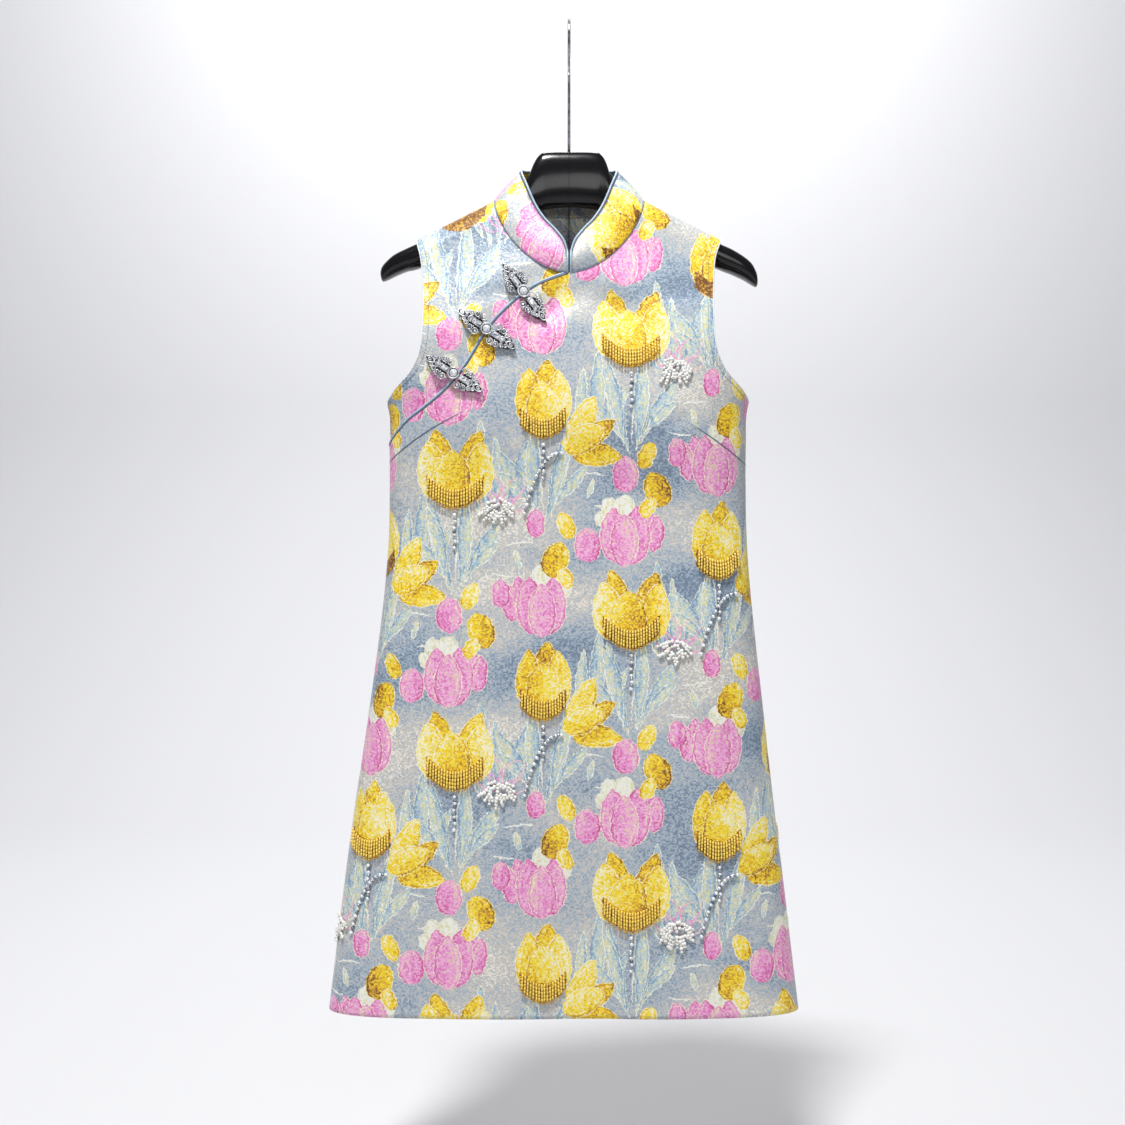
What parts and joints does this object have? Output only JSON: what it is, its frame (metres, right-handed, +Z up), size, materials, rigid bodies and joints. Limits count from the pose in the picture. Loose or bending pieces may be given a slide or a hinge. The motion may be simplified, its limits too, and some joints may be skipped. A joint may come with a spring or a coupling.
{
  "type": "cheongsam dress on a hanger",
  "caption": "Sleeveless A-line cheongsam mini dress with a stand collar, slanted corded opening, jewelled frogs and bead fringes, hung on a wide-shoulder hanger.",
  "frame": {"origin": "the place on the inside top of the hook where a rail carries the hanger", "axes": "+Z up, the dress's front faces -Y, the wearer's left side is at +X"},
  "size_m": [0.496, 0.1101, 1.0464],
  "materials": {
    "brocade": "satin jacquard, blue-grey ground with woven tulips and metallic thread",
    "piping": "pale blue satin over cord",
    "binding": "narrow pale bias binding",
    "gold_beads": "gold-lined bugle beads, opaque and glossy",
    "silver_beads": "silver and pale blue beads, opaque and glossy",
    "pearl": "white pearl beads",
    "antique_silver": "cast silver-coloured filigree, darkened in the recesses",
    "stones": "faceted clear stones with foiled backs",
    "hanger_plastic": "black moulded plastic, glossy",
    "hook_steel": "bright round wire"
  },
  "bodies": {
    "root": {"armhole_binding_left": "binding", "armhole_binding_right": "binding", "back_left_panel": "brocade", "back_right_panel": "brocade", "collar_cord_left": "piping", "collar_cord_right": "piping", "collar_left": "brocade", "collar_right": "brocade", "fringe_back_01": "gold_beads", "fringe_back_02": "gold_beads", "fringe_back_03": "gold_beads", "fringe_back_04": "gold_beads", "fringe_back_05": "gold_beads", "fringe_back_06": "gold_beads", "fringe_back_07": "gold_beads", "fringe_back_08": "gold_beads", "fringe_back_09": "gold_beads", "fringe_back_10": "gold_beads", "fringe_back_11": "gold_beads", "fringe_front_01": "gold_beads", "fringe_front_02": "gold_beads", "fringe_front_03": "gold_beads", "fringe_front_04": "gold_beads", "fringe_front_05": "gold_beads", "fringe_front_06": "gold_beads", "fringe_front_07": "gold_beads", "fringe_front_08": "gold_beads", "fringe_front_09": "gold_beads", "fringe_front_10": "gold_beads", "fringe_front_11": "gold_beads", "frog_1_button": "pearl", "frog_1_lower_wing": "antique_silver", "frog_1_upper_wing": "antique_silver", "frog_2_button": "pearl", "frog_2_lower_wing": "antique_silver", "frog_2_upper_wing": "antique_silver", "frog_3_button": "pearl", "frog_3_lower_wing": "antique_silver", "frog_3_upper_wing": "antique_silver", "front_panel": "brocade", "hanger_body": "hanger_plastic", "hanger_hook": "hook_steel", "opening_cord": "piping", "right_front_panel": "brocade"}
  },
  "joints": []
}
